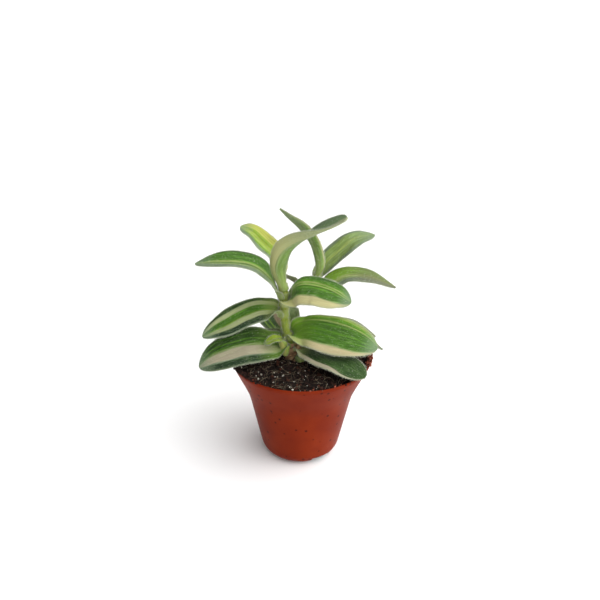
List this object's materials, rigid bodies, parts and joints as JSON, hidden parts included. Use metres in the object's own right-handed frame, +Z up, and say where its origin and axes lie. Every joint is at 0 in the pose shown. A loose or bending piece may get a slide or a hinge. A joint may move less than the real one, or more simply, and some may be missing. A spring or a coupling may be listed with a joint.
{
  "type": "potted white velvet tradescantia",
  "caption": "Small velvety tradescantia with cream-striped green leaves on upright stems, growing in a thin round plastic nursery pot filled with dark soil.",
  "frame": {"origin": "on the pot's axis, at the underside of its foot", "axes": "+Z up along the pot's axis, -Y towards the viewer of the picture, +X to the viewer's right"},
  "size_m": [0.0818, 0.0683, 0.1125],
  "materials": {
    "pot": "satin moulded polypropylene, terracotta brown",
    "soil": "damp peat with perlite and coir",
    "stem": "pale green, softly hairy",
    "leaf": "green with cream stripes, white velvety hairs",
    "dry_leaf": "dried, grey brown"
  },
  "bodies": {
    "root": {"pot": "pot", "soil": "soil", "stem_front": "stem", "stem_back": "stem", "leaf_front_1": "leaf", "leaf_front_2": "leaf", "leaf_front_3": "leaf", "leaf_front_4": "leaf", "leaf_front_5": "leaf", "leaf_front_6": "leaf", "leaf_front_7": "leaf", "leaf_front_8": "leaf", "leaf_back_1": "dry_leaf", "leaf_back_2": "leaf", "leaf_back_3": "leaf", "leaf_back_4": "leaf", "leaf_back_5": "leaf", "leaf_back_6": "leaf", "leaf_back_7": "leaf", "side_shoot": "leaf"}
  },
  "joints": []
}
